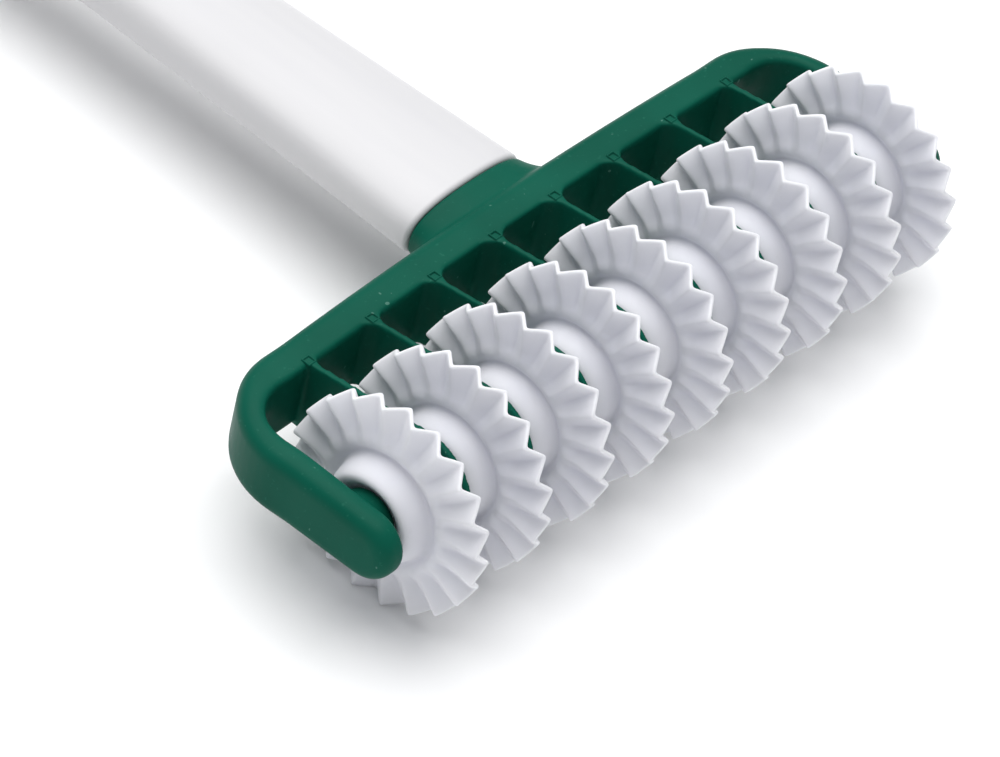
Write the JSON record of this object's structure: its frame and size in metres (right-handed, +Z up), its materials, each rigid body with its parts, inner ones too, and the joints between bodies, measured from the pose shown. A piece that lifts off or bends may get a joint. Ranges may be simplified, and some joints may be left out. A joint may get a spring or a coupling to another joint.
{
  "type": "foot massage roller",
  "caption": "Massage roller with a row of free-turning pleated wheels on one rod, a comb-shaped green head and a straight oval handle.",
  "frame": {"origin": "on the surface that the wheels stand on, under the middle of the whole roller's length and width", "axes": "+X along the rod that carries the wheels, +Y from the wheels to the end of the handle, +Z up, square to the flat of the head"},
  "size_m": [0.1916, 0.258, 0.05],
  "materials": {
    "green_plastic": "satin",
    "wheel_plastic": "satin",
    "handle_plastic": "satin",
    "steel": "polished"
  },
  "bodies": {
    "roller": {"head_frame": "green_plastic", "wheel_rod": "steel", "rod_plug": "green_plastic", "handle": "handle_plastic", "end_cap": "green_plastic"},
    "turning_wheel_1": {"wheel_1": "wheel_plastic"},
    "turning_wheel_2": {"wheel_2": "wheel_plastic"},
    "turning_wheel_3": {"wheel_3": "wheel_plastic"},
    "turning_wheel_4": {"wheel_4": "wheel_plastic"},
    "turning_wheel_5": {"wheel_5": "wheel_plastic"},
    "turning_wheel_6": {"wheel_6": "wheel_plastic"},
    "turning_wheel_7": {"wheel_7": "wheel_plastic"},
    "turning_wheel_8": {"wheel_8": "wheel_plastic"},
    "turning_wheel_9": {"wheel_9": "wheel_plastic"}
  },
  "joints": [
    {"name": "wheel_1_spin", "type": "hinge", "parent": "roller", "child": "turning_wheel_1", "pos_m": [0, -0.104, 0.025], "axis": [1, 0, 0], "continuous": true},
    {"name": "wheel_2_spin", "type": "hinge", "parent": "roller", "child": "turning_wheel_2", "pos_m": [0, -0.104, 0.025], "axis": [1, 0, 0], "continuous": true},
    {"name": "wheel_3_spin", "type": "hinge", "parent": "roller", "child": "turning_wheel_3", "pos_m": [0, -0.104, 0.025], "axis": [1, 0, 0], "continuous": true},
    {"name": "wheel_4_spin", "type": "hinge", "parent": "roller", "child": "turning_wheel_4", "pos_m": [0, -0.104, 0.025], "axis": [1, 0, 0], "continuous": true},
    {"name": "wheel_5_spin", "type": "hinge", "parent": "roller", "child": "turning_wheel_5", "pos_m": [0, -0.104, 0.025], "axis": [1, 0, 0], "continuous": true},
    {"name": "wheel_6_spin", "type": "hinge", "parent": "roller", "child": "turning_wheel_6", "pos_m": [0, -0.104, 0.025], "axis": [1, 0, 0], "continuous": true},
    {"name": "wheel_7_spin", "type": "hinge", "parent": "roller", "child": "turning_wheel_7", "pos_m": [0, -0.104, 0.025], "axis": [1, 0, 0], "continuous": true},
    {"name": "wheel_8_spin", "type": "hinge", "parent": "roller", "child": "turning_wheel_8", "pos_m": [0, -0.104, 0.025], "axis": [1, 0, 0], "continuous": true},
    {"name": "wheel_9_spin", "type": "hinge", "parent": "roller", "child": "turning_wheel_9", "pos_m": [0, -0.104, 0.025], "axis": [1, 0, 0], "continuous": true}
  ]
}
